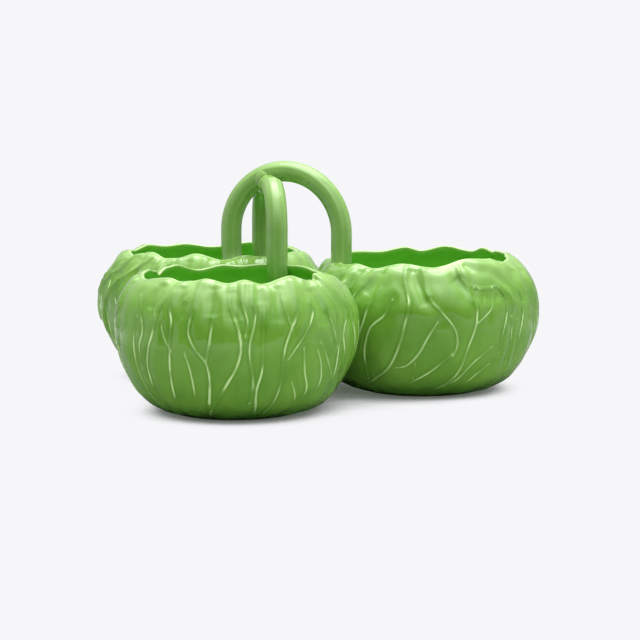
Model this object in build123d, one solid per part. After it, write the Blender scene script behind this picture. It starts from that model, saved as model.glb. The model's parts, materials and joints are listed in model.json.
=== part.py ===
"""Three leaf-moulded ceramic serving bowls, joined side by side, with a handle of two crossing stems.

Millimetres, +Z up. The origin is on the table under the middle of the object's footprint.
The YZ plane is the mirror plane of the layout: it passes through the rear bowl and the stems' crossing.
"""
from build123d import *
from math import atan2, cos, degrees, radians, sin, sqrt
import os

# ---- driving dimensions ------------------------------------------------------------------
BOWL_RADIUS = 75.0        # a bowl at its widest
BOWL_SPACING = 147.6      # between the axes of two neighbouring bowls, a little less than two radii
RIM_HEIGHT = 84.5         # middle of the ruffled rim above the table
RIM_RADIUS = 55.5         # opening, to the middle of the lip
LIP_THICKNESS = 3.2
COLLAR_TOP = 91.0         # the lip before its ruffle is cut
CUTTER_BORE = 47.5        # the ring that cuts the ruffle, clear inside the lip
DISH_RADIUS = 66.0        # and where it comes clear of the shoulder
DISH_HEIGHT = 81.5
WIDEST_HEIGHT = 52.5
WALL = 4.6
FLOOR = 6.0
FOOT_RADIUS = 38.0        # outer edge of the unglazed foot ring
FOOT_WIDTH = 7.0
FOOT_RECESS = 1.5

STEM_RADIUS = 6.8
UPPER_SPRING = 101.4      # height at which each arch leaves its straight legs
LOWER_SPRING = 105.8
UPPER_CORNER = 40.0        # bend of the upper arch, a whole half circle
LOWER_CORNER = 26.0        # bend of the lower arch, which is squarer
STEM_BEND = 22.0          # bend that turns the foot of a stem into the bowl's wall
STEM_TAIL = 15.0
REAR_FOOT_OUT = 12.5      # rear stems: half the distance between the two feet
REAR_FOOT_REACH = 38.0    # from the rear bowl's axis towards the middle
REAR_BEND_HEIGHT = 90.0
REAR_BEND_ANGLE = 65.0
SIDE_FOOT_IN = 48.2       # side stems: from the side bowl's axis towards the mirror plane
SIDE_FOOT_BACK = 22.1     # and towards the rear bowl
SIDE_BEND_HEIGHT = 86.0
SIDE_BEND_ANGLE = 50.0

ROOT_NECK = 8.0           # clay pressed round the foot of each stem
ROOT_BASE = 14.0
ROOT_LENGTH = 13.0
BEAD_RADIUS = 8.6         # clay in the crotch where the stems cross
SEAM_RADIUS = 22.0        # clay run round the patch where two bowls touch
SEAM_WIDTH = 9.0

# Crests and troughs of each rim, as (bearing round the bowl in degrees, lift in mm).
RIMS = {
    "front_bowl": (
        (-170, 0.9), (-160, -0.4), (-143, 1.6), (-129, -0.6), (-119, 1.3), (-109, -1.4), (-91, 2.4),
        (-72, -1.0), (-62, 2.0), (-45, -0.6), (-24, -2.3), (7, -0.2), (33, -0.3), (51, -1.4), (65, -0.9),
        (79, -3.3), (97, 0.7), (113, -3.2), (129, 0.6), (161, -1.8),
    ),
    "right_bowl": (
        (-178, -0.2), (-163, -2.2), (-142, 1.5), (-123, -0.6), (-98, 3.9), (-66, 0.2), (-31, 2.4),
        (-10, 1.7), (3, 3.4), (14, 0.6), (32, 3.1), (50, -0.2), (61, 2.2), (79, -0.4), (103, 1.0),
        (124, -0.7), (145, -0.4), (169, -1.6),
    ),
    "rear_bowl": (
        (-172, 2.0), (-158, -1.1), (-135, 2.5), (-119, -1.5), (-104, 0.9), (-84, -0.6), (-60, 0.3),
        (-38, -1.5), (-16, 0.4), (4, -0.6), (24, 0.8), (57, -2.8), (76, -0.5), (91, -1.2), (110, 0.8),
        (129, -1.3), (146, 0.4), (165, -1.6),
    ),
}

# ---- layout -----------------------------------------------------------------------------
TO_CENTRE = BOWL_SPACING / sqrt(3)          # from the middle of the triangle to each bowl
MIDDLE_Y = -TO_CENTRE / 4                   # the triangle's middle, seen from the footprint's middle
CENTRES = {
    "front_bowl": Vector(-BOWL_SPACING / 2, MIDDLE_Y - TO_CENTRE / 2),
    "right_bowl": Vector(BOWL_SPACING / 2, MIDDLE_Y - TO_CENTRE / 2),
    "rear_bowl": Vector(0, MIDDLE_Y + TO_CENTRE),
}
SEAMS = {
    "front_seam": ("front_bowl", "right_bowl"),
    "right_seam": ("right_bowl", "rear_bowl"),
    "left_seam": ("rear_bowl", "front_bowl"),
}


def bearing(start, end):
    """Direction from one point to another in plan, in degrees."""
    return degrees(atan2(end.Y - start.Y, end.X - start.X))


# ---- bowls ------------------------------------------------------------------------------
def ruffle_cutter(crests):
    """A thick ring whose underside follows the rim's waves, and dishes the troughs into the shoulder."""
    share = (DISH_RADIUS - RIM_RADIUS) / (DISH_RADIUS - CUTTER_BORE)
    edges = []
    for radius in (CUTTER_BORE, DISH_RADIUS):
        points = []
        for turn, lift in crests:
            height = DISH_HEIGHT
            if radius == CUTTER_BORE:
                height += (RIM_HEIGHT + lift - DISH_HEIGHT) / share
            points.append((radius * cos(radians(turn)), radius * sin(radians(turn)), height))
        edges.append(Spline(*points, periodic=True).edge())
    underside = Face.make_surface_from_curves(edges[0], edges[1])
    return extrude(underside, amount=COLLAR_TOP, dir=(0, 0, 1))


def bowl_wall():
    """Cabbage-round wall, hollow, with its foot ring and an upright lip."""
    outside = [
        (FOOT_RADIUS, 0), (53.0, 7.4), (67.4, 25.0), (73.8, 42.0), (BOWL_RADIUS, WIDEST_HEIGHT),
        (71.2, 69.8), (64.5, 80.2), (RIM_RADIUS + LIP_THICKNESS / 2, 84.0),
    ]
    inside = [
        (RIM_RADIUS - LIP_THICKNESS / 2, 82.0), (61.5, 77.0), (67.0, 68.5),
        (BOWL_RADIUS - WALL, WIDEST_HEIGHT), (69.2, 43.0), (62.4, 27.0), (48.4, 12.6),
        (33.0, FLOOR + 0.8), (24.0, FLOOR),
    ]
    outline = Spline(*outside)
    outline += Line(outside[-1], (outside[-1][0], COLLAR_TOP))
    outline += Line((outside[-1][0], COLLAR_TOP), (inside[0][0], COLLAR_TOP))
    outline += Line((inside[0][0], COLLAR_TOP), inside[0])
    outline += Spline(*inside)
    foot_inner = FOOT_RADIUS - FOOT_WIDTH
    underside = [(0, FLOOR), (0, FOOT_RECESS), (foot_inner, FOOT_RECESS), (foot_inner, 0)]
    outline += Polyline(inside[-1], *underside, outside[0])
    return revolve(Plane.XZ * make_face(outline), Axis.Z)


def bowl(name):
    """One bowl in place, with its ruffle cut and its sides pared flat where its neighbours touch it."""
    centre = CENTRES[name]
    solid = Pos(centre.X, centre.Y) * (bowl_wall() - ruffle_cutter(RIMS[name]))
    for other in CENTRES:
        if other != name:
            beyond = Pos(BOWL_SPACING / 2 + BOWL_RADIUS / 2, 0, WIDEST_HEIGHT) * Box(BOWL_RADIUS, 120, 120)
            solid -= Pos(centre.X, centre.Y) * Rot(0, 0, bearing(centre, CENTRES[other])) * beyond
    return solid


# ---- stems ------------------------------------------------------------------------------
def stem_foot(name, side):
    """Where a stem stands, how high it starts to bend, how far, and which way is outward to the wall."""
    centre = CENTRES[name]
    if name == "rear_bowl":
        foot = centre + Vector(side * REAR_FOOT_OUT, -REAR_FOOT_REACH)
        return foot, REAR_BEND_HEIGHT, REAR_BEND_ANGLE, (foot - centre).normalized()
    foot = centre + Vector(-side * SIDE_FOOT_IN, SIDE_FOOT_BACK)
    return foot, SIDE_BEND_HEIGHT, SIDE_BEND_ANGLE, (foot - centre).normalized()


def foot_points(foot):
    """The bend of one foot: its top, its middle, its end, and the end of the tail inside the wall."""
    place, height, angle, outward = foot
    points = [place + Vector(0, 0, height)]
    for part in (0.5, 1.0):
        turn = radians(angle * part)
        drop = Vector(0, 0, STEM_BEND * sin(turn))
        points.append(points[0] + outward * STEM_BEND * (1 - cos(turn)) - drop)
    turn = radians(angle)
    points.append(points[2] + (outward * sin(turn) - Vector(0, 0, cos(turn))) * STEM_TAIL)
    return points


def arch(first, last, spring, corner):
    """The arch of a stem: a half circle, or two quarter circles with a level run between them."""
    left = first[0] + Vector(0, 0, spring)
    right = last[0] + Vector(0, 0, spring)
    along = (right - left).normalized()
    if corner >= (right - left).length / 2:
        apex = (left + right) / 2 + Vector(0, 0, (right - left).length / 2)
        return left, ThreePointArc(left, apex, right), right
    half_way = (along * (1 - cos(radians(45))), Vector(0, 0, sin(radians(45))))
    up = Vector(0, 0, corner)
    over = ThreePointArc(left, left + (half_way[0] + half_way[1]) * corner, left + along * corner + up)
    over += Line(left + along * corner + up, right - along * corner + up)
    over += ThreePointArc(right - along * corner + up, right + (half_way[1] - half_way[0]) * corner, right)
    return left, over, right


def stem(first, last, spring, corner):
    """A stem that rises from one bowl, arches over and comes down into another."""
    top, middle, end, tail = foot_points(first)
    far_top, far_middle, far_end, far_tail = foot_points(last)
    left, over, right = arch(first, last, spring, corner)
    path = Line(tail, end) + ThreePointArc(end, middle, top) + Line(top, left)
    path += over
    path += Line(right, far_top) + ThreePointArc(far_top, far_middle, far_end) + Line(far_end, far_tail)
    return sweep(Plane(origin=tail, z_dir=end - tail) * Circle(STEM_RADIUS), path)


def root(foot):
    """A flared collar of clay round the foot of a stem, against the bowl's wall."""
    _, _, end, tail = foot_points(foot)
    along = (tail - end).normalized()
    centre = end + along * ROOT_LENGTH / 2
    return Plane(origin=centre, z_dir=along) * Cone(ROOT_NECK, ROOT_BASE, ROOT_LENGTH)


def main_solid(shape):
    """The largest solid, without the crumbs that trimming leaves behind a wall."""
    return max(shape.solids(), key=lambda solid: solid.volume)


# ---- assembly ---------------------------------------------------------------------------
def build():
    parts = {name: bowl(name) for name in CENTRES}
    bowls = list(parts.values())

    feet = {
        "front_root": stem_foot("front_bowl", -1),
        "right_root": stem_foot("right_bowl", 1),
        "rear_left_root": stem_foot("rear_bowl", -1),
        "rear_right_root": stem_foot("rear_bowl", 1),
    }
    upper = stem(feet["rear_left_root"], feet["right_root"], UPPER_SPRING, UPPER_CORNER)
    lower = stem(feet["rear_right_root"], feet["front_root"], LOWER_SPRING, LOWER_CORNER)
    parts["upper_stem"] = main_solid(upper - bowls)
    parts["lower_stem"] = main_solid(lower - bowls - upper)

    for name, foot in feet.items():
        parts[name] = main_solid(root(foot) - bowls - upper - lower)

    share = REAR_FOOT_OUT / (REAR_FOOT_OUT + feet["right_root"][0].X)
    crossing = feet["rear_left_root"][0] + (feet["right_root"][0] - feet["rear_left_root"][0]) * share
    half_span = (feet["right_root"][0] - feet["rear_left_root"][0]).length / 2
    upper_height = UPPER_SPRING + sqrt(half_span**2 - (half_span * (1 - 2 * share))**2)
    bead_height = (upper_height + LOWER_SPRING + LOWER_CORNER) / 2
    bead = Pos(0, crossing.Y, bead_height) * Sphere(BEAD_RADIUS)
    parts["crossing_bead"] = bead - upper - lower

    for name, (first, second) in SEAMS.items():
        start, end = CENTRES[first], CENTRES[second]
        middle = (start + end) / 2
        disc = Rot(0, 90, 0) * Cylinder(SEAM_RADIUS, SEAM_WIDTH)
        disc = Pos(middle.X, middle.Y, WIDEST_HEIGHT) * Rot(0, 0, bearing(start, end)) * disc
        parts[name] = main_solid(disc - bowls)
    return parts


os.makedirs("parts", exist_ok=True)
for node, shape in build().items():
    export_step(shape, f"parts/{node}.step")
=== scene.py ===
"""Looks for a leaf-moulded serving dish: three glazed bowls and a handle of two crossing stems."""
import json
from math import cos, pi, radians, sin

import bpy
import numpy as np
from bpy.props import FloatProperty, FloatVectorProperty, IntProperty, PointerProperty
from mathutils import Matrix, Vector

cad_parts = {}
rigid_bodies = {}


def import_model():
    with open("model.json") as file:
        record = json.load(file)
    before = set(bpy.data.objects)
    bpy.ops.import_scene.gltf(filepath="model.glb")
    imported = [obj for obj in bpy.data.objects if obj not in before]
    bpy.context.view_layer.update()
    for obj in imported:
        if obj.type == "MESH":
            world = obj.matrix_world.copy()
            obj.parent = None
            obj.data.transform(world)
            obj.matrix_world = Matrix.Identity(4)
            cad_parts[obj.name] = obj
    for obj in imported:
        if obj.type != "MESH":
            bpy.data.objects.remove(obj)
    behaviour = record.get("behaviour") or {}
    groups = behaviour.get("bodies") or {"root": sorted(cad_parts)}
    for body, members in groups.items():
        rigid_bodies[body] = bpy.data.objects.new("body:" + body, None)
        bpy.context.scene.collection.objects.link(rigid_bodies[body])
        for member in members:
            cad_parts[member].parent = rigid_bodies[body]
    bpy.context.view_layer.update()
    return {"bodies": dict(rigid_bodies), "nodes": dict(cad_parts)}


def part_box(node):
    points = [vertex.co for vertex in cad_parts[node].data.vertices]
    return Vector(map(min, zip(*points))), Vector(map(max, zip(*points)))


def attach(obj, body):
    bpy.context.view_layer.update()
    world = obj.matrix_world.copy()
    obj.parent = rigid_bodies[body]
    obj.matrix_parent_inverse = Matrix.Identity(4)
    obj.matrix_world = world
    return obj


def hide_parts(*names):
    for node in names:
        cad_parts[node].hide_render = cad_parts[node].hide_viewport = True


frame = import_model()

bl_info = {
    "name": "Leaf Dish Maker",
    "version": (1, 0, 0),
    "blender": (4, 5, 0),
    "location": "View3D > Sidebar > Leaf Dish",
    "description": "Builds a three-bowl leaf dish with a crossed-stem handle",
    "category": "Add Mesh",
}

BODY = next(iter(frame["bodies"]))
MM = 0.001

# Bowl wall as (radius, height) in millimetres: outside from foot to lip, inside from lip to floor.
OUTSIDE = (
    (38.4, 0.6), (45.5, 3.0), (52.6, 6.8), (58.6, 11.6), (63.6, 18.0), (67.8, 25.5), (71.2, 34.0),
    (73.4, 43.0), (74.2, 51.0), (73.6, 59.5), (71.6, 67.5), (68.6, 74.0), (64.5, 79.2), (60.5, 82.3),
    (57.0, 84.1),
)
LIP = ((56.4, 84.5), (55.6, 84.8), (54.8, 84.6), (54.4, 83.8))
LIP_TOP = LIP[1]
INSIDE = (
    (54.9, 82.6), (58.2, 79.8), (62.6, 76.0), (67.0, 69.0), (69.4, 61.0), (70.1, 54.0), (68.7, 45.0),
    (65.6, 35.6), (61.0, 27.5), (55.0, 19.6), (47.0, 12.5), (40.0, 9.0), (32.0, 6.9), (24.0, 6.0),
)
# Underside and floor, as (radius, height, how many times fewer faces than the outside has).
UNDERSIDE = ((8.0, 1.5, 8), (18.0, 1.5, 4), (27.0, 1.5, 2), (30.0, 1.5, 1), (30.8, 1.1, 1), (31.2, 0.3, 1),
             (31.9, 0.0, 1), (36.6, 0.0, 1), (37.5, 0.15, 1))
FLOOR = ((15.0, 6.0, 4), (8.0, 6.0, 8), (3.0, 6.0, 16))
FOOT_EDGE = 37.8          # radius within which the bowl stays round
MIDWALL = 30.0            # height above which the wall follows the rim's ruffles

# Rim ruffles, as (bearing in degrees, lift in millimetres) at each crest, trough and tear.
RIMS = {
    "front_bowl": (
        (-170, 0.9), (-161, -0.5), (-152, 0.2), (-143, 1.8), (-130, -0.6), (-120, 1.3), (-109, -1.4),
        (-90, 2.5), (-74, -1.2), (-69.5, -1.4), (-68, 2.2), (-62, 2.4), (-50, -0.2), (-28, -2.5),
        (-9, -1.8), (7, -0.1), (35, -0.2), (51, -1.5), (62, -0.8), (78, -3.5), (97, 0.7), (104, -0.1),
        (113, -3.9), (119, -1.1), (130, 0.6), (145, -1.0), (161, -2.0),
    ),
    "right_bowl": (
        (-177, -0.3), (-163, -2.2), (-142, 1.5), (-123, -0.6), (-98, 4.0), (-80, 3.1), (-64, 0.0), (-46, 1.2),
        (-31, 2.6), (-14, 2.6), (-11, 1.7), (2, 3.4), (13, 0.5), (32, 3.1), (50, -0.2), (61, 2.2), (79, -0.4),
        (103, 1.0), (124, -0.7), (141, -0.6), (156, -0.8), (170, -1.6),
    ),
    "rear_bowl": (
        (-172, 2.0), (-159, -1.1), (-151, -0.7), (-137, 2.5), (-118, -1.5), (-104, 0.9), (-88, -0.6),
        (-57, 0.4), (-38, -1.5), (-18, -0.7), (4, 0.8), (24, 0.8), (57, -2.8), (76, -0.5), (91, -1.2),
        (110, 0.8), (129, -1.3), (146, 0.4), (165, -1.6),
    ),
}

# How far each bowl's belly is out of round, as (bearing, millimetres outward).
BELLIES = {
    "front_bowl": ((-180, -1.0), (-140, 0.3), (-90, 0.2), (-38, 0.6), (10, -0.4), (60, -0.6),
                   (110, -0.8), (142, -1.7)),
    "right_bowl": ((-180, -0.6), (-120, 0.2), (-80, 0.0), (-38, 1.4), (0, -0.3), (60, -0.4), (120, -0.4)),
    "rear_bowl": ((-170, 0.4), (-120, -0.6), (-60, -0.6), (0, 0.2), (50, 0.2), (90, 0.1), (142, 1.8)),
}

# How much each bowl's shoulder is slumped, as (bearing, times the slump's parts below).
SLUMPS = {
    "front_bowl": ((-180, 0.2), (-60, 0.3), (60, 0.2)),
    "right_bowl": ((-180, 0.8), (-128, 1.1), (-80, 0.9), (-45, 0.0), (60, 0.0), (130, 0.5)),
    "rear_bowl": ((-180, 1.0), (-130, 1.0), (-60, 0.5), (0, 0.0), (90, 0.2), (130, 0.4)),
}

BELLY_HEIGHT, BELLY_REACH = 44.0, 30.0
# The slump's parts, as (millimetres outward, height, reach).
SLUMP_PARTS = ((0.8, 60.0, 6.0), (-1.5, 75.0, 5.0))
# The lip's own sway, as (millimetres, waves round the bowl, phase), and how far a crest leans in.
SWAY = ((0.5, 5, 0.7), (0.35, 11, 0.0), (0.2, 23, 2.0))
CREST_LEAN = 0.22

# Leaf veins of the mould's two halves, each as strength and (bearing, height in mm) points
# from the shoulder down.
NEAR_LEAF = (
    (1.0, (-160, 79), (-160, 70), (-158, 61), (-159, 44), (-160, 33), (-162, 17), (-165, 3)),
    (0.8, (-163, 60), (-161, 52), (-158, 45)),
    (0.9, (-173, 77), (-170, 71), (-168, 65)),
    (1.0, (-161, 80), (-166, 69), (-168, 56), (-171, 47), (-174, 36), (-175, 24), (-176, 10)),
    (0.9, (176, 76), (-178, 66), (-175, 56), (-178, 46), (-179, 32)),
    (1.0, (-147, 79), (-148, 68), (-149, 57), (-146, 48), (-141, 39), (-140, 28), (-142, 14), (-148, 2)),
    (0.9, (-138, 74), (-138, 63), (-139, 52), (-141, 40)),
    (1.0, (-131, 79), (-129, 69), (-126, 58), (-125, 48), (-127, 37), (-133, 24), (-142, 9), (-147, 2)),
    (0.7, (-151, 45), (-149, 34), (-149, 21), (-152, 7)),
    (0.9, (180, 64), (178, 50), (177, 38), (177, 22), (179, 9), (-178, 1)),
    (0.9, (164, 60), (158, 42), (153, 27), (155, 13), (162, 4)),
    (1.0, (-125, 80), (-124, 72), (-122, 64), (-123, 55)),
    (1.0, (-120, 80), (-118, 70), (-119, 61), (-121, 51), (-121, 42), (-119, 27), (-120, 14)),
    (0.9, (-113, 71), (-115, 60), (-115, 36), (-117, 22), (-116, 10), (-114, 2)),
    (1.0, (-96, 76), (-98, 66), (-102, 57), (-105, 44), (-105, 22), (-108, 8), (-113, 1)),
    (0.8, (-104, 76), (-103, 67), (-101, 57)),
    (0.9, (-88, 77), (-88, 69), (-91, 61), (-98, 49), (-103, 40)),
    (0.7, (-95, 47), (-93, 33), (-88, 20), (-90, 8)),
    (0.7, (-87, 45), (-83, 35), (-80, 24), (-84, 10)),
    (1.0, (-79, 77), (-79, 66), (-76, 55), (-73, 44)),
    (1.0, (-74, 76), (-72, 63), (-72, 44), (-70, 28), (-66, 12)),
    (0.6, (-86, 50), (-79, 38), (-72, 27)),
    (0.9, (-59, 73), (-64, 62), (-68, 52), (-66, 42), (-60, 24)),
    (0.6, (-99, 27), (-94, 17), (-90, 7)),
    (0.9, (-57, 70), (-58, 60), (-55, 46), (-50, 30)),
    (0.9, (-47, 75), (-50, 60), (-47, 40), (-43, 20)),
    (0.9, (150, 77), (155, 66), (149, 52), (146, 34), (149, 16)),
)
FAR_LEAF = (
    (1.0, (-140, 82), (-138, 72), (-136, 63), (-138, 50), (-142, 34), (-148, 22), (-158, 14), (-168, 9)),
    (0.9, (-144, 66), (-148, 56), (-155, 48), (-159, 37), (-161, 27), (-163, 13)),
    (0.8, (-151, 72), (-156, 61), (-160, 48), (-165, 36)),
    (1.0, (-159, 79), (-163, 71), (-168, 62), (-173, 50)),
    (1.0, (-166, 80), (-170, 69), (-176, 58)),
    (1.0, (-178, 83), (-180, 76), (176, 66), (170, 50), (168, 30)),
    (1.0, (-131, 78), (-126, 66), (-120, 58), (-114, 48), (-112, 38), (-114, 30)),
    (0.8, (-122, 53), (-127, 42), (-132, 31), (-138, 24), (-145, 22)),
    (1.0, (-107, 74), (-103, 62), (-103, 50), (-106, 36), (-109, 20), (-116, 10), (-126, 5)),
    (0.7, (-91, 68), (-95, 58), (-103, 50)),
    (0.9, (-114, 32), (-123, 22), (-133, 14), (-146, 7)),
    (0.5, (-133, 27), (-135, 14)),
    (0.9, (-92, 35), (-101, 26), (-108, 15), (-116, 9)),
    (0.7, (-90, 24), (-99, 15), (-106, 7)),
    (1.2, (-109, 83), (-108, 77), (-101, 72), (-93, 71), (-87, 72), (-84, 66), (-84, 57), (-86, 44),
     (-86, 30)),
    (1.0, (-72, 78), (-70, 66), (-71, 54), (-72, 40), (-70, 24)),
    (1.0, (-62, 68), (-59, 56), (-52, 42), (-48, 26)),
    (0.9, (-80, 54), (-79, 40), (-77, 22)),
    (0.4, (-96, 67), (-99, 60)),
    (0.9, (-42, 76), (-45, 62), (-40, 44), (-42, 24)),
    (0.9, (158, 78), (154, 64), (158, 46), (154, 26)),
)
# Broad hollows pressed into the shoulder and wall, as strength and (bearing, height) points.
NEAR_HOLLOWS = (
    (1.0, (-171, 82), (-172, 76), (-173, 68)),
    (0.8, (-157, 82), (-155, 74), (-153, 64)),
    (1.0, (-139, 82), (-139, 75), (-138, 66)),
    (0.7, (-129, 81), (-128, 73), (-127, 64)),
    (0.6, (-115, 81), (-114, 73)),
    (0.8, (-104, 82), (-106, 74), (-108, 62)),
    (0.9, (-84, 80), (-83, 70), (-83, 58)),
    (0.7, (-154, 74), (-153, 62)),
    (0.8, (155, 82), (158, 72), (160, 60)),
)
FAR_HOLLOWS = (
    (1.0, (-135, 83), (-133, 78), (-130, 71), (-127, 62)),
    (0.9, (-169, 83), (-171, 76), (-173, 66)),
    (0.8, (-152, 82), (-155, 76), (-160, 68)),
    (0.9, (-104, 83), (-96, 80), (-87, 79), (-78, 72), (-75, 62), (-77, 50)),
    (0.7, (-112, 78), (-106, 71), (-99, 67), (-91, 66.5), (-86, 67), (-81, 62), (-80, 52)),
    (0.9, (-66, 81), (-70, 73), (-69, 60)),
    (0.9, (-54, 80), (-58, 72), (-58, 58), (-54, 44)),
    (0.8, (150, 81), (148, 68)),
)
CREASED_ABOVE = 68        # a vein that starts above this height has a fold from the rim down to it
FOLD_TOP, FOLD_LEAN = 84, 1.5   # where such a fold starts: its height, and degrees beside the vein

# Broad folds that sweep down the rear bowl's shoulder.
REAR_FOLDS = (
    (1.5, (-178, 85), (172, 78), (160, 68), (150, 54), (146, 38)),
    (1.4, (-164, 84), (-176, 75), (172, 64), (163, 48), (160, 32)),
    (1.3, (-150, 84), (-158, 74), (-170, 62), (-177, 46)),
    (1.2, (168, 84), (157, 76), (147, 66), (138, 50)),
)

# ---- settings ----
def millimetres(name, description, default):
    """A length setting, given in millimetres and kept in metres."""
    return FloatProperty(name=name, description=description, default=default * MM, unit="LENGTH",
                         precision=5)


def colour(name, description, default):
    """A colour setting."""
    return FloatVectorProperty(name=name, description=description, default=default, size=3, subtype="COLOR")


def number(name, description, default):
    """A plain number setting."""
    return FloatProperty(name=name, description=description, default=default)


def degrees(name, description, default):
    """An angle setting, given in degrees."""
    return FloatProperty(name=name, description=description, default=radians(default), subtype="ANGLE")


def whole_number(name, description, default, least):
    """A whole-number setting."""
    return IntProperty(name=name, description=description, default=default, min=least)


class BowlSettings(bpy.types.PropertyGroup):
    """Sizes of the bowls and of the relief on them."""

    columns: whole_number("Columns", "Faces round the outside of a bowl, a multiple of 16", 800, 80)
    rows: whole_number("Rows", "Faces up the outside of a bowl", 96, 20)
    inner_rows: whole_number("Inner rows", "Faces down the inside of a bowl", 34, 10)
    ruffle_reach: millimetres("Ruffle reach", "How far the rim's waves run down the wall", 13.0)
    vein_height: millimetres("Vein height", "How far a vein stands up", 0.9)
    vein_width: millimetres("Vein width", "Half width of a vein", 0.70)
    vein_step: millimetres("Vein step", "Distance between points along a vein", 1.0)
    puff: millimetres("Puff", "How far the leaf swells between its veins", 0.8)
    puff_width: millimetres("Puff width", "How far from a vein the leaf reaches its swell", 5.5)
    crease_height: millimetres("Crease height", "How far the shoulder's folds stand up", 1.2)
    crease_width: millimetres("Crease width", "Half width of a fold", 2.3)
    lumps: millimetres("Lumps", "How uneven the wall is overall", 2.6)
    lump_scale: number("Lump scale", "Lumps to the metre", 70.0)
    hollow_depth: millimetres("Hollow depth", "How deep the broad hollows are", 1.8)
    hollow_width: millimetres("Hollow width", "Half width of a broad hollow", 4.2)


class StemSettings(bpy.types.PropertyGroup):
    """Sizes and places of the two stems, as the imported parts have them, and their finish."""

    radius: millimetres("Radius", "Radius of a stem at the top of its arch", 6.65)
    upper_top: millimetres("Upper top", "Height of the upper arch's centre line", 140.24)
    upper_corner: millimetres("Upper corner", "Bend radius of the upper arch", 38.84)
    lower_top: millimetres("Lower top", "Height of the lower arch's centre line", 131.8)
    lower_corner: millimetres("Lower corner", "Bend radius of the lower arch", 26.0)
    bend: millimetres("Bend", "Radius of the bend at a stem's foot", 22.0)
    tail: millimetres("Tail", "Straight run from the bend into the wall", 9.0)
    rear_out: millimetres("Rear out", "Rear feet: distance from the mirror plane", 12.5)
    rear_reach: millimetres("Rear reach", "Rear feet: distance from the rear bowl's axis", 38.0)
    rear_bend_height: millimetres("Rear bend height", "Height where the rear feet start to bend", 90.0)
    side_in: millimetres("Side in", "Side feet: distance in from the side bowl's axis", 48.2)
    side_back: millimetres("Side back", "Side feet: distance back from the side bowl's axis", 22.1)
    side_bend_height: millimetres("Side bend height", "Height where the side feet start to bend", 86.0)
    flutes: whole_number("Flutes", "Shallow flutes round a stem", 11, 3)
    flute_depth: millimetres("Flute depth", "Depth of the flutes", 0.06)
    # The flutes' crests take the pale ridge colour, which is partly a painted highlight.
    streak: number("Streak", "How much the flutes tint the glaze", 0.075)
    thicken: number("Thicken", "Share by which a stem thickens to its foot", 0.10)
    thicken_length: millimetres("Thicken length", "Length over which a stem thickens", 75.0)
    flare: number("Flare", "Share by which a stem flares at its end", 0.75)
    flare_length: millimetres("Flare length", "Length of the flare at a stem's end", 8.5)


class GlazeSettings(bpy.types.PropertyGroup):
    """Colours of the glaze and the clay, some of which also carry painted highlights, shade and light."""

    leaf: colour("Leaf", "Glaze over the leaf blades", (0.158, 0.362, 0.040))
    # Also used for the painted shade above the foot.
    deep: colour("Deep", "Glaze where it pools", (0.070, 0.230, 0.012))
    # Partly thin glaze and partly painted highlight; also the painted highlight on the shoulders and the lip.
    ridge: colour("Ridge", "Glaze where it is thin over a ridge", (0.60, 0.86, 0.36))
    # A brighter copy of the leaf glaze: painted light on the bowls' insides.
    inner: colour("Inner", "Glaze inside the bowls", (0.230, 0.560, 0.085))
    stem: colour("Stem", "Glaze over the stems", (0.168, 0.360, 0.058))
    clay: colour("Clay", "Bare fired clay of the foot rings", (0.66, 0.57, 0.45))
    leaf_roughness: number("Leaf roughness", "Roughness of the bowls' glaze", 0.05)
    stem_roughness: number("Stem roughness", "Roughness of the stems' glaze", 0.13)


class StageSettings(bpy.types.PropertyGroup):
    """Camera and light."""

    camera_turn: degrees("Camera turn", "How far the camera is turned from the front", -37.65)
    camera_rise: degrees("Camera rise", "Camera angle above level", 7.14)
    camera_distance: millimetres("Camera distance", "Camera to the dish", 1465.5)
    lens: number("Lens", "Focal length in mm", 128.3)
    ceiling: number("Ceiling", "Strength of the light overhead", 4.7)
    key: number("Key", "Strength of the light from above the front", 2.0)
    dome: number("Dome", "Strength of the rest of the upper surroundings", 0.4)
    wings: number("Wings", "Strength of the walls to the left and right", 0.8)
    behind: number("Behind", "Strength of the wall behind the dish", 0.4)
    dim: number("Dim", "Light that comes from everywhere", 0.05)
    backdrop: colour("Backdrop", "Brightness and colour of the backdrop", (0.922, 0.922, 0.939))


class LeafDishSettings(bpy.types.PropertyGroup):
    """All settings of the dish."""

    bowl: PointerProperty(type=BowlSettings)
    stem: PointerProperty(type=StemSettings)
    glaze: PointerProperty(type=GlazeSettings)
    stage: PointerProperty(type=StageSettings)


def settings():
    """The dish's settings on the current scene."""
    return bpy.context.scene.leaf_dish


# ---- layout ----
def bowl_centres():
    """Axis of each bowl in plan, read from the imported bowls' boxes."""
    centres = {}
    for name in RIMS:
        low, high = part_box(name)
        size = max(high.x - low.x, high.y - low.y) / 2
        if name == "front_bowl":
            centres[name] = Vector((low.x + size, (low.y + high.y) / 2, 0))
        elif name == "right_bowl":
            centres[name] = Vector((high.x - size, (low.y + high.y) / 2, 0))
        else:
            centres[name] = Vector(((low.x + high.x) / 2, high.y - size, 0))
    return centres


CENTRES = bowl_centres()
MIDDLE = sum(CENTRES.values(), Vector()) / len(CENTRES)


# ---- lines and meshes ----
SPLINE_STEPS = 24         # fine steps between two points of a smooth line


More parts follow.
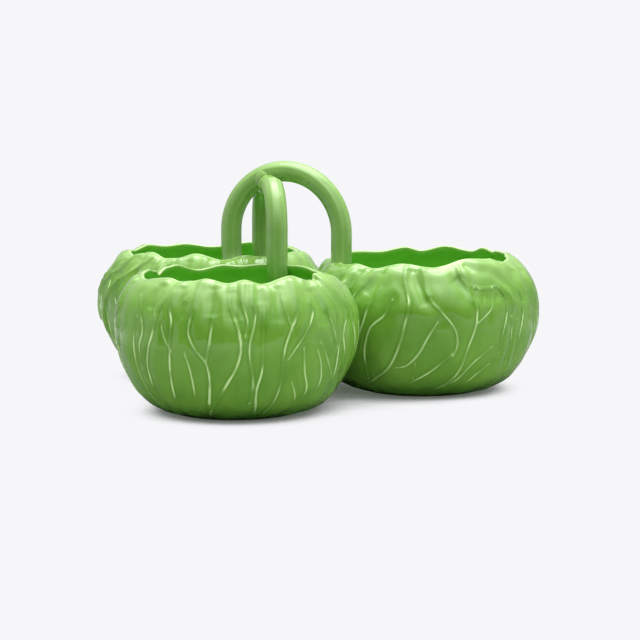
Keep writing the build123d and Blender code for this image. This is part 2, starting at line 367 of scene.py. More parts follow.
def smooth_line(points, step):
    """A smooth line through the points, with even steps."""
    points = np.array(points, float)
    ends = np.vstack([2 * points[0] - points[1], points, 2 * points[-1] - points[-2]])
    fine = []
    for p0, p1, p2, p3 in zip(ends, ends[1:], ends[2:], ends[3:]):
        t = np.linspace(0, 1, SPLINE_STEPS, endpoint=False)[:, None]
        fine.append(0.5 * (2 * p1 + (p2 - p0) * t + (2 * p0 - 5 * p1 + 4 * p2 - p3) * t**2
                           + (3 * p1 - p0 - 3 * p2 + p3) * t**3))
    fine = np.vstack(fine + [points[-1:]])
    along = np.concatenate([[0], np.cumsum(np.linalg.norm(np.diff(fine, axis=0), axis=1))])
    count = max(2, int(round(along[-1] / step)) + 1)
    even = np.linspace(0, along[-1], count)
    return np.stack([np.interp(even, along, fine[:, k]) for k in range(fine.shape[1])], axis=1)


def wave(crests, bearings):
    """Height of a ruffle at each bearing, eased between its crests and troughs."""
    crests = sorted(crests)
    knots = np.array([crests[-1][0] - 360] + [c[0] for c in crests] + [crests[0][0] + 360], float)
    lifts = np.array([crests[-1][1]] + [c[1] for c in crests] + [crests[0][1]], float)
    bearings = (bearings + 180) % 360 - 180
    index = np.clip(np.searchsorted(knots, bearings, side="right") - 1, 0, len(knots) - 2)
    part = (bearings - knots[index]) / (knots[index + 1] - knots[index])
    ease = part * part * (3 - 2 * part)
    return lifts[index] * (1 - ease) + lifts[index + 1] * ease


def stitch(rings):
    """Faces between rings of vertices; a ring may have half as many as its neighbour, or one at a pole."""
    faces = []
    for a, b in zip(rings, rings[1:]):
        if len(a) == len(b):
            faces += [(a[i - 1], a[i], b[i], b[i - 1]) for i in range(len(a))]
        elif len(a) == 1:
            faces += [(a[0], b[i], b[i - 1]) for i in range(len(b))]
        elif len(b) == 1:
            faces += [(a[i - 1], a[i], b[0]) for i in range(len(a))]
        elif len(a) == 2 * len(b):
            for i in range(len(b)):
                faces += [(a[2 * i - 2], a[2 * i - 1], b[i - 1]), (a[2 * i - 1], b[i], b[i - 1]),
                          (a[2 * i - 1], a[2 * i], b[i])]
        else:
            for i in range(len(a)):
                faces += [(b[2 * i - 1], b[2 * i - 2], a[i - 1]), (a[i - 1], a[i], b[2 * i - 1]),
                          (a[i], b[2 * i], b[2 * i - 1])]
    return faces


def linked(name, data):
    """A new object in the scene."""
    thing = bpy.data.objects.new(name, data)
    bpy.context.scene.collection.objects.link(thing)
    return thing


def new_object(name, vertices, faces=(), edges=()):
    """A smooth-shaded mesh object at the origin."""
    mesh = bpy.data.meshes.new(name)
    mesh.from_pydata([tuple(v) for v in vertices], list(edges), list(faces))
    mesh.validate()
    mesh.shade_smooth()
    return linked(name, mesh)


def float_attribute(mesh, name, values):
    """Stores one number for each vertex."""
    mesh.attributes.new(name, "FLOAT", "POINT").data.foreach_set("value", np.asarray(values, np.float32))


def finish_piece(thing, node_names):
    """Turns live modifiers into a plain mesh, and hands the piece to the frame."""
    graph = bpy.context.evaluated_depsgraph_get()
    mesh = bpy.data.meshes.new_from_object(thing.evaluated_get(graph))
    thing.modifiers.clear()
    thing.data = mesh
    mesh.shade_smooth()
    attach(thing, BODY)
    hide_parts(*node_names)


# ---- node trees ----
def add(tree, kind, inputs=None, **properties):
    """Adds a node, sets its properties, and sets or links its inputs."""
    node = tree.nodes.new(kind)
    for key, value in properties.items():
        setattr(node, key, value)
    for key, value in (inputs or {}).items():
        if isinstance(value, bpy.types.NodeSocket):
            tree.links.new(value, node.inputs[key])
        else:
            node.inputs[key].default_value = value
    return node


def maths(tree, operation, *values):
    """A Math node's result."""
    return add(tree, "ShaderNodeMath", dict(enumerate(values)), operation=operation).outputs[0]


def mixed(tree, factor, first, second):
    """A colour between two others."""
    first, second = (tint if isinstance(tint, bpy.types.NodeSocket) else (*tint, 1)
                     for tint in (first, second))
    return add(tree, "ShaderNodeMix", {0: factor, 6: first, 7: second}, data_type="RGBA").outputs[2]


def dot(tree, way, direction):
    """How far a way points along a direction."""
    return add(tree, "ShaderNodeVectorMath", {0: way, 1: direction}, operation="DOT_PRODUCT").outputs["Value"]


def scaled(tree, vector, scale):
    """A vector made longer or shorter."""
    return add(tree, "ShaderNodeVectorMath", {0: vector, "Scale": scale}, operation="SCALE").outputs[0]


def noise(tree, place, scale, detail):
    """A noise texture's value."""
    return add(tree, "ShaderNodeTexNoise", {"Vector": place, "Scale": scale, "Detail": detail}).outputs[0]


def named(tree, name):
    """A number that a mesh keeps under a name."""
    return add(tree, "GeometryNodeInputNamedAttribute", {"Name": name}, data_type="FLOAT").outputs[0]


def store(tree, geometry, name, value):
    """Keeps a number under a name on each of a mesh's points."""
    return add(tree, "GeometryNodeStoreNamedAttribute", {"Geometry": geometry, "Name": name, "Value": value},
               data_type="FLOAT", domain="POINT").outputs[0]


def new_group(name, sockets):
    """A Geometry Nodes tree that takes and gives geometry, with the other inputs given, and those inputs."""
    tree = bpy.data.node_groups.new(name, "GeometryNodeTree")
    for title, kind in (("Geometry", "Geometry"), *sockets, ("Material", "Material")):
        tree.interface.new_socket(title, in_out="INPUT", socket_type="NodeSocket" + kind)
    tree.interface.new_socket("Geometry", in_out="OUTPUT", socket_type="NodeSocketGeometry")
    return tree, tree.nodes.new("NodeGroupInput").outputs


def end_group(tree, geometry, material):
    """Ends a tree in real, finished geometry."""
    real = add(tree, "GeometryNodeRealizeInstances", {"Geometry": geometry}).outputs[0]
    real = add(tree, "GeometryNodeSetMaterial", {"Geometry": real, "Material": material}).outputs[0]
    add(tree, "NodeGroupOutput", {"Geometry": real})
    return tree


def new_material(name):
    """A material with an empty node tree, and that tree."""
    material = bpy.data.materials.new(name)
    material.use_nodes = True
    material.node_tree.nodes.clear()
    return material, material.node_tree


def ramped(tree, value, low, high, to_low=0.0, to_high=1.0):
    """A value eased from one range to another."""
    node = add(tree, "ShaderNodeMapRange", {0: value, 1: low, 2: high, 3: to_low, 4: to_high},
               interpolation_type="SMOOTHSTEP")
    return node.outputs[0]


def set_inputs(modifier, values):
    """Sets a Geometry Nodes modifier's inputs by their sockets' identifiers."""
    for item in modifier.node_group.interface.items_tree:
        if item.in_out == "INPUT" and item.name in values:
            modifier[item.identifier] = values[item.name]


TRENCH_SPREAD = 2.6       # how much wider the trench beside a vein is than the vein
LUMP_SQUASH = (1, 1, 0.35)  # lumps are taller than they are wide


def relief_tree():
    """Raises or presses a mesh along the lines of another object, and swells it between them."""
    sizes = ("Height", "Width", "Puff", "Puff Width", "Trench", "Lumps", "Lump Scale")
    tree, given = new_group("leaf_relief", (("Lines", "Object"), *((size, "Float") for size in sizes),
                                            ("Attribute", "String")))
    lines = add(tree, "GeometryNodeObjectInfo", {"Object": given["Lines"]}, transform_space="RELATIVE")
    lines = lines.outputs["Geometry"]
    near = add(tree, "GeometryNodeProximity", {0: lines}, target_element="EDGES")
    index = add(tree, "GeometryNodeSampleNearest", {"Geometry": lines}, domain="POINT")
    strength = add(tree, "GeometryNodeSampleIndex",
                   {"Geometry": lines, "Value": named(tree, "strength"), "Index": index.outputs[0]},
                   data_type="FLOAT", domain="POINT")
    outside = named(tree, "outside")
    strength = maths(tree, "MULTIPLY", strength.outputs[0], outside)

    def bell(width):
        share = maths(tree, "DIVIDE", near.outputs["Distance"], width)
        return maths(tree, "EXPONENT", maths(tree, "MULTIPLY", maths(tree, "MULTIPLY", share, share), -1.0))

    ridge = maths(tree, "MULTIPLY", bell(given["Width"]), strength)
    side = maths(tree, "MULTIPLY", bell(maths(tree, "MULTIPLY", given["Width"], TRENCH_SPREAD)), strength)
    ridge = maths(tree, "SUBTRACT", ridge, maths(tree, "MULTIPLY", side, given["Trench"]))
    swell = maths(tree, "SUBTRACT", 1.0, bell(given["Puff Width"]))
    swell = maths(tree, "MULTIPLY", maths(tree, "MULTIPLY", swell, given["Puff"]), outside)
    place = tree.nodes.new("GeometryNodeInputPosition").outputs[0]
    place = add(tree, "ShaderNodeVectorMath", {0: place, 1: LUMP_SQUASH}, operation="MULTIPLY").outputs[0]
    lump = noise(tree, place, given["Lump Scale"], 1.0)
    lump = maths(tree, "MULTIPLY", maths(tree, "SUBTRACT", lump, 0.5), given["Lumps"])
    swell = maths(tree, "ADD", swell, maths(tree, "MULTIPLY", lump, outside))
    offset = maths(tree, "ADD", maths(tree, "MULTIPLY", ridge, given["Height"]), swell)
    normal = tree.nodes.new("GeometryNodeInputNormal").outputs[0]
    moved = add(tree, "GeometryNodeSetPosition",
                {"Geometry": given["Geometry"], "Offset": scaled(tree, normal, offset)}).outputs[0]
    return end_group(tree, store(tree, moved, given["Attribute"], ridge), given["Material"])


SECTION_POINTS = 132      # points round a stem
LOBES, LOBE_TURN, LOBE_SHARE = 5.0, 1.3, 0.8   # broad lobes that keep the flutes from being alike


def stem_tree():
    """Sweeps a fluted round section along a line, as thick as the line's swell attribute says."""
    tree, given = new_group("fluted_stem", (("Radius", "Float"), ("Flute Depth", "Float"),
                                            ("Streak", "Float"), ("Flutes", "Int")))
    line = add(tree, "GeometryNodeMeshToCurve", {"Mesh": given["Geometry"]}).outputs[0]
    line = add(tree, "GeometryNodeSetCurveRadius", {"Curve": line, "Radius": named(tree, "swell")}).outputs[0]
    ring = add(tree, "GeometryNodeCurvePrimitiveCircle",
               {"Resolution": SECTION_POINTS, "Radius": given["Radius"]}).outputs[0]
    turn = add(tree, "GeometryNodeSplineParameter").outputs["Factor"]
    turn = maths(tree, "MULTIPLY", turn, 2 * pi)
    flute = maths(tree, "COSINE", maths(tree, "MULTIPLY", turn, given["Flutes"]))
    uneven = maths(tree, "COSINE", maths(tree, "ADD", maths(tree, "MULTIPLY", turn, LOBES), LOBE_TURN))
    flute = maths(tree, "ADD", flute, maths(tree, "MULTIPLY", uneven, LOBE_SHARE))
    flute = maths(tree, "MULTIPLY", flute, given["Flute Depth"])
    place = tree.nodes.new("GeometryNodeInputPosition").outputs[0]
    way = add(tree, "ShaderNodeVectorMath", {0: place}, operation="NORMALIZE").outputs[0]
    ring = add(tree, "GeometryNodeSetPosition",
               {"Geometry": ring, "Offset": scaled(tree, way, flute)}).outputs[0]
    ring = store(tree, ring, "streak", maths(tree, "MULTIPLY", flute, given["Streak"]))
    swept = add(tree, "GeometryNodeCurveToMesh", {"Curve": line, "Profile Curve": ring, "Fill Caps": True})
    return end_group(tree, swept.outputs[0], given["Material"])


# ---- materials ----
FOOT_LINE = (0.9 * MM, 0.5 * MM)   # the foot ring is bare clay from the second height down
BARE_ROUGHNESS = 0.6
GLOSS_SPREAD = 0.04                # how much the glaze's roughness varies
CLOUD, FLECK, RIPPLE, GRAIN = 45.0, 420.0, 160.0, 2600.0   # scales of the patterns, to the metre
RIPPLE_SHARE, GRAIN_SHARE = 0.35, 0.3   # parts that the ripples and the clay's grain have in the bump
BUMP_STRENGTH, BUMP_DEPTH = 0.5, 0.3 * MM
GLAZE_IOR = 1.52


def glaze_material(name, base, deep, ridge, inner, clay, relief, gloss):
    """Glossy glaze over relief: pale where thin on ridges, deeper where it pools, bare on the foot.
    Painted highlights on ridges, shoulders and lip, painted shade above the foot and painted light inside.
    """
    material, tree = new_material(name)
    place = add(tree, "ShaderNodeTexCoord").outputs["Object"]
    height = add(tree, "ShaderNodeSeparateXYZ", {0: place}).outputs[2]
    raised, edge, within = (add(tree, "ShaderNodeAttribute", attribute_name=attribute).outputs["Fac"]
                            for attribute in (relief, "edge", "within"))
    layers = (  # what it follows, where it starts, where it is full, how strong it gets, its colour
        (noise(tree, place, CLOUD, 3.0), 0.35, 0.70, 0.40, deep),   # clouds of thicker glaze
        (raised, -0.02, -0.22, 0.55, deep),                        # glaze pooled beside the veins
        (raised, 0.06, 0.32, 0.90, ridge),                         # thin glaze and painted highlight over the veins and the stems' flutes
        (height, 66 * MM, 84 * MM, 0.20, ridge),                   # painted highlight: paler from the shoulder up, and over the stems
        (edge, 0.45, 0.95, 0.50, ridge),                           # painted highlight along the lip
        (height, 13 * MM, 3 * MM, 1.00, deep),                     # painted shade: darker towards the foot
    )
    tint = base
    for value, start, full, most, layer in layers:
        tint = mixed(tree, ramped(tree, value, start, full, 0.0, most), tint, layer)
    # The insides take the brighter copy of the glaze: painted light.
    tint = mixed(tree, within, tint, inner)
    bare = ramped(tree, height, *FOOT_LINE)
    tint = mixed(tree, bare, tint, clay)
    fleck = noise(tree, place, FLECK, 2.0)
    rough = maths(tree, "ADD", ramped(tree, fleck, 0.3, 0.7, gloss, gloss + GLOSS_SPREAD),
                  maths(tree, "MULTIPLY", bare, BARE_ROUGHNESS))
    ripple = maths(tree, "MULTIPLY", noise(tree, place, RIPPLE, 2.0), RIPPLE_SHARE)
    grain = maths(tree, "MULTIPLY", noise(tree, place, GRAIN, 2.0), bare)
    grain = maths(tree, "MULTIPLY", grain, GRAIN_SHARE)
    bump = add(tree, "ShaderNodeBump", {"Height": maths(tree, "ADD", ripple, grain),
                                        "Strength": BUMP_STRENGTH, "Distance": BUMP_DEPTH}).outputs[0]
    shader = add(tree, "ShaderNodeBsdfPrincipled", {"Base Color": tint, "Roughness": rough, "Normal": bump,
                                                    "IOR": GLAZE_IOR})
    add(tree, "ShaderNodeOutputMaterial", {"Surface": shader.outputs[0]})
    return material


def make_glazes():
    """The two glazes, made once."""
    if "glaze_on_leaves" not in bpy.data.materials:
        glaze = settings().glaze
        for name, base, relief, gloss in (("glaze_on_leaves", glaze.leaf, "vein", glaze.leaf_roughness),
                                          ("glaze_on_stems", glaze.stem, "streak", glaze.stem_roughness)):
            glaze_material(name, base, glaze.deep, glaze.ridge, glaze.inner, glaze.clay, relief, gloss)
    return bpy.data.materials["glaze_on_leaves"], bpy.data.materials["glaze_on_stems"]


# ---- bowls ----
# In millimetres: the steps of a bowl's profile, the height at which its relief starts and the rise over
# which it grows, the distance from the lip within which it fades, and the width of the painted highlight
# along the lip.
PROFILE_STEP = 0.2
RELIEF_START, RELIEF_RISE, RELIEF_TO_LIP = 0.8, 3.5, 5.0
EDGE_WIDTH = 1.6
# A line on the wall grows from a share of its strength over a length at its top, and fades at its bottom.
TOP_SHARE, TOP_FADE = 0.5, 3.0
BOTTOM_SHARE, BOTTOM_FADE = 0.4, 4.0
VEIN_TRENCH = 0.30        # depth of the trench beside a vein, as a share of the vein


def wall_middle(height):
    """Radius half way through a bowl's wall at each height."""
    outside, inside = (sorted((h, r) for r, h in side) for side in (OUTSIDE, INSIDE))
    return (np.interp(height, *zip(*outside)) + np.interp(height, *zip(*inside))) / 2


def bump_at(height, middle, reach):
    """A smooth bump up the wall, 1 at its middle."""
    return np.exp(-((height - middle) / reach) ** 2)


def ruffled(name, radius, height, bearings):
    """Points of a bowl's wall in metres: the turned shape with its ruffles, slump and belly added."""
    radius, height, bearings = (np.asarray(v, float) for v in (radius, height, bearings))
    distance = np.hypot(radius - LIP_TOP[0], height - LIP_TOP[1])
    hold = np.where(height > MIDWALL, bump_at(distance, 0.0, settings().bowl.ruffle_reach / MM), 0.0)
    lift = wave(RIMS[name], bearings)
    slant = np.radians(bearings)
    sway = sum(size * np.sin(cycles * slant + phase) for size, cycles, phase in SWAY)
    belly = np.where(radius > FOOT_EDGE, bump_at(height, BELLY_HEIGHT, BELLY_REACH), 0.0)
    slump = sum(size * bump_at(height, middle, reach) for size, middle, reach in SLUMP_PARTS)
    slump = np.where(radius > wall_middle(height), slump, 0.0)
    radius = radius + (sway - CREST_LEAN * lift) * hold
    radius += belly * wave(BELLIES[name], bearings) + slump * wave(SLUMPS[name], bearings)
    points = np.stack([radius * np.cos(slant), radius * np.sin(slant), height + lift * hold], axis=-1)
    return points * MM + np.array(CENTRES[name])


def even_rows(profile, count):
    """Rows at even steps along a profile."""
    fine = smooth_line(profile, PROFILE_STEP)
    return fine[np.linspace(0, len(fine) - 1, count).astype(int)]


def build_bowl(name):
    """The closed mesh of one bowl, before its relief."""
    s = settings().bowl
    outline = [(r, h, part, 0) for r, h, part in UNDERSIDE]
    outline += [(r, h, 1, 1) for r, h in even_rows(OUTSIDE, s.rows)] + [(r, h, 1, 0) for r, h in LIP]
    first_inner = len(outline)
    outline += [(r, h, 2, 0) for r, h in even_rows(INSIDE, s.inner_rows)]
    outline += [(r, h, part, 0) for r, h, part in FLOOR]
    vertices = [ruffled(name, [0], [UNDERSIDE[0][1]], [0])]
    reliefs, edges, withins, rings, count = [0.0], [0.0], [0.0], [[0]], 1
    for index, (radius, height, part, outer) in enumerate(outline):
        columns = s.columns // part
        bearings = np.arange(columns) * 360.0 / columns - 180.0
        vertices.append(ruffled(name, np.full(columns, radius), np.full(columns, height), bearings))
        distance = float(np.hypot(radius - LIP_TOP[0], height - LIP_TOP[1]))
        from_foot = max(0.0, (height - RELIEF_START) / RELIEF_RISE)
        reliefs += [outer * min(1.0, from_foot) * min(1.0, distance / RELIEF_TO_LIP)] * columns
        # How near the lip each ring is: the mask of the lip's painted highlight.
        edges += [float(bump_at(distance, 0.0, EDGE_WIDTH))] * columns
        withins += [float(index >= first_inner)] * columns
        rings.append(list(range(count, count + columns)))
        count += columns
    vertices.append(ruffled(name, [0], [FLOOR[-1][1]], [0]))
    rings.append([count])
    thing = new_object(name + "_glazed", np.vstack(vertices), stitch(rings))
    float_attribute(thing.data, "outside", reliefs + [0.0])
    float_attribute(thing.data, "edge", edges + [0.0])
    float_attribute(thing.data, "within", withins + [1.0])
    return thing


def wall_lines(name, title, patterns):
    """Lines on a bowl's wall, as edges with a strength that fades at each end."""
    step = settings().bowl.vein_step / MM
    wall = smooth_line(OUTSIDE, 0.5)
    vertices, edges, strengths = [], [], []
    for turn, pattern in patterns:
        for strength, *points in pattern:
            path = np.array(points, float)
            path[:, 0] = np.degrees(np.unwrap(np.radians(path[:, 0]))) + turn
            radius = np.interp(path[:, 1], wall[:, 1], wall[:, 0])
            line = smooth_line(ruffled(name, radius, path[:, 1], path[:, 0]) / MM, step)
            along = np.linspace(0, len(line), len(line)) * step
            ends = np.minimum(along / TOP_FADE + TOP_SHARE, (along[-1] - along) / BOTTOM_FADE + BOTTOM_SHARE)
            start = len(vertices)
            vertices += list(line * MM)
            strengths += list(strength * np.minimum(1.0, ends))
            edges += [(start + i, start + i + 1) for i in range(len(line) - 1)]
    thing = new_object(name + title, vertices, edges=edges)
    float_attribute(thing.data, "strength", strengths)
    return thing


def crease_pattern(pattern):
    """Folds that run from the rim down to the veins of a pattern that start on the shoulder."""
    return [(strength, (top[0] + FOLD_LEAN, FOLD_TOP), tuple(np.add(top, second) / 2), second)
            for strength, top, second, *_ in pattern if top[1] > CREASED_ABOVE]


def raise_lines(thing, lines, material, attribute, height, width, puff=0.0, trench=0.0, lumps=0.0):
    """Adds a relief modifier to a bowl."""
    s = settings().bowl
    tree = bpy.data.node_groups.get("leaf_relief") or relief_tree()
    modifier = thing.modifiers.new(attribute, "NODES")
    modifier.node_group = tree
    set_inputs(modifier, {"Lines": lines, "Height": height, "Width": width, "Puff": puff,
                          "Puff Width": s.puff_width, "Trench": trench, "Lumps": lumps,
                          "Lump Scale": s.lump_scale, "Attribute": attribute, "Material": material})


def make_bowl(name, near_turn, far_turn, folds=()):
    """One bowl, with its folds, veins and hollows."""
    s = settings().bowl
    glaze, _ = make_glazes()
    thing = build_bowl(name)
    near, far = ((near_turn, NEAR_LEAF), (far_turn, FAR_LEAF))
    veins = wall_lines(name, "_veins", (near, far))
    hollows = wall_lines(name, "_hollows", ((near_turn, NEAR_HOLLOWS), (far_turn, FAR_HOLLOWS)))
    folds = [(turn, crease_pattern(leaf)) for turn, leaf in (near, far)] + list(folds)
    creases = wall_lines(name, "_creases", folds)
    raise_lines(thing, creases, glaze, "crease", s.crease_height, s.crease_width)
    raise_lines(thing, veins, glaze, "vein", s.vein_height, s.vein_width, s.puff, VEIN_TRENCH)
    raise_lines(thing, hollows, glaze, "hollow", -s.hollow_depth, s.hollow_width, lumps=s.lumps)
    finish_piece(thing, [name])
    for line in (creases, veins, hollows):
        bpy.data.objects.remove(line)


# ---- stems ----
REAR_BEND, SIDE_BEND = radians(65), radians(50)   # how far a stem's foot bends over
BEND_STEPS, ARCH_STEPS = 8, 12                    # steps of a foot's bend and of half an arch
LINE_STEP = 1.2                                   # steps of a stem's line, in millimetres
# A hand-made stem's unevenness, as (share of its radius, metres to a radian, phase).
UNEVEN = ((0.012, 0.017, 0.0), (0.008, 0.0071, 1.0))


def stem_foot(name, side):
    """Where a stem stands, how high it starts to bend, how far, and which way is outward to the wall."""
    s = settings().stem
    centre = CENTRES[name]
    if name == "rear_bowl":
        foot = centre + Vector((side * s.rear_out, -s.rear_reach, 0))
        return foot, s.rear_bend_height, REAR_BEND, (foot - centre).normalized()
    foot = centre + Vector((-side * s.side_in, s.side_back, 0))
    return foot, s.side_bend_height, SIDE_BEND, (foot - centre).normalized()


def foot_line(foot):
    """Centre line of a stem's foot, from its end in the wall up to where it is upright."""
    s = settings().stem
    place, height, angle, outward = foot
    up = Vector((0, 0, 1))
    turns = [angle * k / BEND_STEPS for k in range(BEND_STEPS + 1)]
    bend = [place + up * height + (outward * (1 - cos(turn)) - up * sin(turn)) * s.bend for turn in turns]
    end = bend[-1] + (outward * sin(angle) - up * cos(angle)) * s.tail
    return [end] + bend[::-1]


def make_stem(name, first, last, top, corner, node_names):
    """A fluted stem along its arch, thicker towards its feet and flared where it joins the walls."""
    s = settings().stem
    up = Vector((0, 0, 1))
    span = last[0] - first[0]
    along, corner = span.normalized(), min(corner, span.length / 2)
    turns = [pi / 2 * k / ARCH_STEPS for k in range(ARCH_STEPS + 1)]
    quarter = [(corner * (1 - cos(turn)), corner * sin(turn)) for turn in turns]
    arch = [first[0] + along * out + up * (top - corner + rise) for out, rise in quarter]
    arch += [last[0] - along * out + up * (top - corner + rise) for out, rise in quarter[-2::-1]]
    points = foot_line(first) + arch + foot_line(last)[::-1]
    line = smooth_line([tuple(point / MM) for point in points], LINE_STEP) * MM
    along = np.concatenate([[0], np.cumsum(np.linalg.norm(np.diff(line, axis=0), axis=1))])
    to_end = np.minimum(along, along[-1] - along)
    swell = 1.0 + s.thicken * np.clip(1 - to_end / s.thicken_length, 0, 1)
    swell += s.flare * np.exp(-(to_end / s.flare_length) ** 2)
    swell += sum(share * np.sin(along / length + phase) for share, length, phase in UNEVEN)
    thing = new_object(name + "_glazed", line, edges=[(i, i + 1) for i in range(len(line) - 1)])
    float_attribute(thing.data, "swell", swell)
    modifier = thing.modifiers.new("sweep", "NODES")
    modifier.node_group = bpy.data.node_groups.get("fluted_stem") or stem_tree()
    set_inputs(modifier, {"Radius": s.radius, "Flute Depth": s.flute_depth, "Flutes": s.flutes,
                          "Streak": s.streak / s.flute_depth, "Material": make_glazes()[1]})
    finish_piece(thing, node_names)


# ---- stage ----
AIM_HEIGHT = 0.045                 # height the camera looks at
AIM_RIGHT, AIM_UP = 0.0191, 0.0007   # and how far it is moved across and up from the dish's middle


def facing(turn, rise=0.0):
    """Unit vector from the dish towards a turn from the front and a rise above level."""
    return Vector((sin(turn) * cos(rise), -cos(turn) * cos(rise), sin(rise)))


def make_camera():
    """A long lens from the front left, a little above the rims."""
    s = settings().stage
    back = facing(s.camera_turn, s.camera_rise)
    right = facing(s.camera_turn + pi / 2)
    up = back.cross(right)
    target = Vector((0, MIDDLE.y, AIM_HEIGHT)) + right * AIM_RIGHT + up * AIM_UP
    camera = bpy.data.cameras.new("camera")
    camera.lens = s.lens
    camera.sensor_width = 36.0
    camera.clip_start = 0.05
    thing = linked("camera", camera)
    turned = Matrix((right, up, back)).transposed().to_4x4()
    thing.matrix_world = Matrix.Translation(target + back * s.camera_distance) @ turned
    bpy.context.scene.camera = thing


def lobe(tree, way, turn, rise, sharpness, strength):
    """A round soft patch of light on the surroundings."""
    near = maths(tree, "MAXIMUM", dot(tree, way, facing(turn, rise)), 0.0)
    return maths(tree, "MULTIPLY", maths(tree, "POWER", near, sharpness), strength)


# Where the patches of light are, as (turn from the camera, rise, sharpness). A rise of more than
# 90 degrees leans back, away from the camera.
CEILING_LOBE = (0.0, radians(102), 8.0)
KEY_LOBE = (radians(25), radians(58), 6.0)
# How far round to the side, and to the back, the walls start and are full.
WINGS_FROM, WINGS_FULL = 0.80, 0.95
BEHIND_FROM, BEHIND_FULL = 0.1, -0.5


def make_world():
    """Soft surroundings: light overhead, beside and behind, and a dark wall on the camera's side."""
    s = settings().stage
    world = bpy.data.worlds.new("studio")
    world.use_nodes = True
    tree = world.node_tree
    tree.nodes.clear()
    way = add(tree, "ShaderNodeTexCoord").outputs["Generated"]
    up = maths(tree, "MAXIMUM", add(tree, "ShaderNodeSeparateXYZ", {0: way}).outputs[2], 0.0)
    dome = maths(tree, "MULTIPLY", maths(tree, "POWER", up, 2.0), s.dome)
    lights = [lobe(tree, way, s.camera_turn + turn, rise, sharpness, strength)
              for (turn, rise, sharpness), strength in ((CEILING_LOBE, s.ceiling), (KEY_LOBE, s.key))]
    across = maths(tree, "ABSOLUTE", dot(tree, way, facing(s.camera_turn + pi / 2)))
    wings = maths(tree, "MULTIPLY", ramped(tree, across, WINGS_FROM, WINGS_FULL), s.wings)
    towards = dot(tree, way, facing(s.camera_turn))
    behind = maths(tree, "MULTIPLY", ramped(tree, towards, BEHIND_FROM, BEHIND_FULL), s.behind)
    level = maths(tree, "ADD", maths(tree, "MAXIMUM", wings, behind), s.dim)
    for light in (*lights, dome):
        level = maths(tree, "ADD", level, light)
    seen = add(tree, "ShaderNodeLightPath").outputs["Is Camera Ray"]
    light = add(tree, "ShaderNodeBackground", {"Color": (1, 1, 1, 1), "Strength": level})
    plain = add(tree, "ShaderNodeBackground", {"Color": (*s.backdrop, 1), "Strength": 1.0})
    both = add(tree, "ShaderNodeMixShader", {0: seen, 1: light.outputs[0], 2: plain.outputs[0]})
    add(tree, "ShaderNodeOutputWorld", {"Surface": both.outputs[0]})
    bpy.context.scene.world = world


FLOOR_HALF = 0.40                  # half the floor's side
FLOOR_NEAR, FLOOR_FAR = 0.19, 0.34   # distances over which the floor turns into the backdrop
FLOOR_TONE, FLOOR_GLOSS_TONE = 0.62, 0.22   # floor's share of the backdrop, for soft light and in the glaze
SHADOW_REACH = 0.08                # how far away the dish still shades the floor
SHADOW_FULL, SHADOW_NONE = 0.08, 0.42   # share of open sky where the shadow is full, and where it ends
SHADOW_TINT = (0.09, 0.11, 0.085)


def make_floor():
    """A pale floor that takes the dish's soft shadow and fades into the backdrop."""
    s = settings().stage
    corners = [(x * FLOOR_HALF, y * FLOOR_HALF, 0) for x, y in ((-1, -1), (1, -1), (1, 1), (-1, 1))]
    floor = new_object("floor", corners, [(0, 1, 2, 3)])
    material, tree = new_material("pale_floor")
    place = add(tree, "ShaderNodeTexCoord").outputs["Object"]
    centre = add(tree, "ShaderNodeVectorMath", {0: place, 1: tuple(MIDDLE)}, operation="DISTANCE")
    far = ramped(tree, centre.outputs["Value"], FLOOR_NEAR, FLOOR_FAR)
    rays = add(tree, "ShaderNodeLightPath").outputs
    open_sky = add(tree, "ShaderNodeAmbientOcclusion", {"Distance": SHADOW_REACH}, samples=8).outputs["AO"]
    shade = mixed(tree, ramped(tree, open_sky, SHADOW_FULL, SHADOW_NONE), SHADOW_TINT, s.backdrop)
    contact = add(tree, "ShaderNodeEmission", {"Color": shade, "Strength": 1.0})
    tones = [[share * part for part in s.backdrop] for share in (FLOOR_TONE, FLOOR_GLOSS_TONE)]
    tone = mixed(tree, rays["Is Glossy Ray"], *tones)
    matt = add(tree, "ShaderNodeBsdfDiffuse", {"Color": tone})
    glow = add(tree, "ShaderNodeEmission", {"Color": (*s.backdrop, 1), "Strength": 1.0})
    lit = add(tree, "ShaderNodeMixShader", {0: far, 1: matt.outputs[0], 2: glow.outputs[0]})
    both = add(tree, "ShaderNodeMixShader", {0: rays["Is Camera Ray"], 1: lit.outputs[0],
                                             2: contact.outputs[0]})
    add(tree, "ShaderNodeOutputMaterial", {"Surface": both.outputs[0]})
    floor.data.materials.append(material)


FILL_DISTANCE, FILL_HEIGHT = 1.25, 0.85   # where the fill light stands, on the camera's side


def make_light(name, power, width, depth, place, target, glossy):
    """A soft rectangular light, which the glaze reflects or doesn't."""
    light = bpy.data.lights.new(name, "AREA")
    light.shape = "RECTANGLE"
    light.size, light.size_y, light.energy = width, depth, power
    thing = linked(name, light)
    way = Vector(target) - Vector(place)
    thing.matrix_world = Matrix.Translation(place) @ way.to_track_quat("-Z", "Y").to_matrix().to_4x4()
    thing.visible_glossy = glossy


# ---- operators ----
class LEAFDISH_OT_stage(bpy.types.Operator):
    """Makes the camera, the surroundings and the floor"""

    bl_idname = "leafdish.stage"
    bl_label = "Stage"

    def execute(self, context):
        make_camera()
        make_world()
        make_floor()
        place = facing(settings().stage.camera_turn) * FILL_DISTANCE + Vector((0, 0, FILL_HEIGHT))
        make_light("front_fill", power=1.5, width=1.0, depth=0.7, place=place, target=(0, 0, 0.06),
                   glossy=False)
        make_light("shoulder_box", power=3.0, width=0.6, depth=0.6, place=(0.20, 0.05, 0.75),
                   target=(0.06, 0.03, 0.06), glossy=True)
        bpy.context.scene.view_settings.view_transform = "Standard"
        return {"FINISHED"}


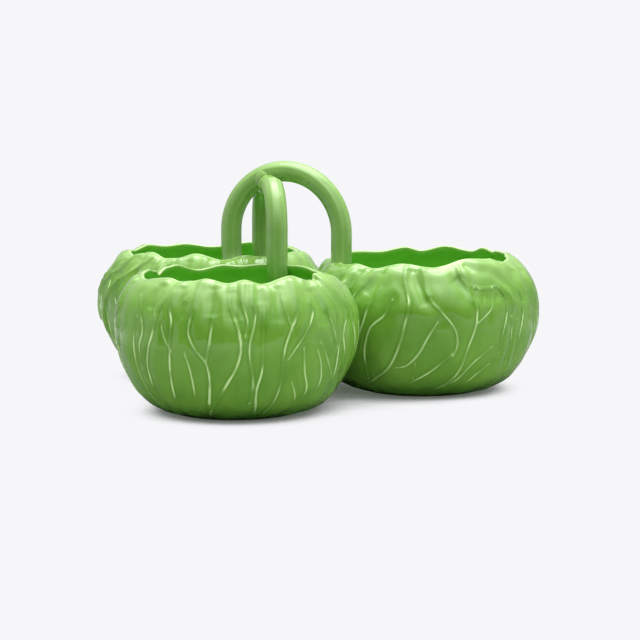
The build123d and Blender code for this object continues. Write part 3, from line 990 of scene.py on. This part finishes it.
class LEAFDISH_OT_bowls(bpy.types.Operator):
    """Makes the three leaf-moulded bowls"""

    bl_idname = "leafdish.bowls"
    bl_label = "Bowls"

    def execute(self, context):
        # The two leaf patterns are turned by these many degrees, as the mould was.
        make_bowl("front_bowl", 2, 185)
        make_bowl("right_bowl", 185, 0)
        make_bowl("rear_bowl", -35, 150, ((0, REAR_FOLDS),))
        return {"FINISHED"}


class LEAFDISH_OT_stems(bpy.types.Operator):
    """Makes the two stems that cross above the dish"""

    bl_idname = "leafdish.stems"
    bl_label = "Stems"

    def execute(self, context):
        s = settings().stem
        make_stem("upper_stem", stem_foot("rear_bowl", -1), stem_foot("right_bowl", 1), s.upper_top,
                  s.upper_corner, ["upper_stem", "rear_left_root", "right_root"])
        make_stem("lower_stem", stem_foot("rear_bowl", 1), stem_foot("front_bowl", -1), s.lower_top,
                  s.lower_corner, ["lower_stem", "rear_right_root", "front_root"])
        return {"FINISHED"}


class LEAFDISH_OT_joins(bpy.types.Operator):
    """Glazes the small fillets of clay where bowls and stems are joined"""

    bl_idname = "leafdish.joins"
    bl_label = "Joins"

    def execute(self, context):
        leaf, stem = make_glazes()
        for name, glaze in (("front_seam", leaf), ("right_seam", leaf), ("left_seam", leaf),
                            ("crossing_bead", stem)):
            materials = frame["nodes"][name].data.materials
            if not materials:
                raise RuntimeError(name + " has no material slot to glaze")
            for index in range(len(materials)):
                materials[index] = glaze
        return {"FINISHED"}


class LEAFDISH_PT_panel(bpy.types.Panel):
    """The dish's buttons in the sidebar"""

    bl_idname = "LEAFDISH_PT_panel"
    bl_label = "Leaf Dish"
    bl_space_type = "VIEW_3D"
    bl_region_type = "UI"
    bl_category = "Leaf Dish"

    def draw(self, context):
        for operator in OPERATORS:
            self.layout.operator(operator.bl_idname)


OPERATORS = (LEAFDISH_OT_stage, LEAFDISH_OT_bowls, LEAFDISH_OT_stems, LEAFDISH_OT_joins)
CLASSES = (BowlSettings, StemSettings, GlazeSettings, StageSettings, LeafDishSettings, *OPERATORS,
           LEAFDISH_PT_panel)


def register():
    for item in CLASSES:
        bpy.utils.register_class(item)
    bpy.types.Scene.leaf_dish = PointerProperty(type=LeafDishSettings)


def unregister():
    del bpy.types.Scene.leaf_dish
    for item in reversed(CLASSES):
        bpy.utils.unregister_class(item)


def main():
    """Builds the whole dish on its stage."""
    register()
    bpy.ops.leafdish.stage()
    bpy.ops.leafdish.bowls()
    bpy.ops.leafdish.stems()
    bpy.ops.leafdish.joins()


if __name__ == "__main__":
    main()
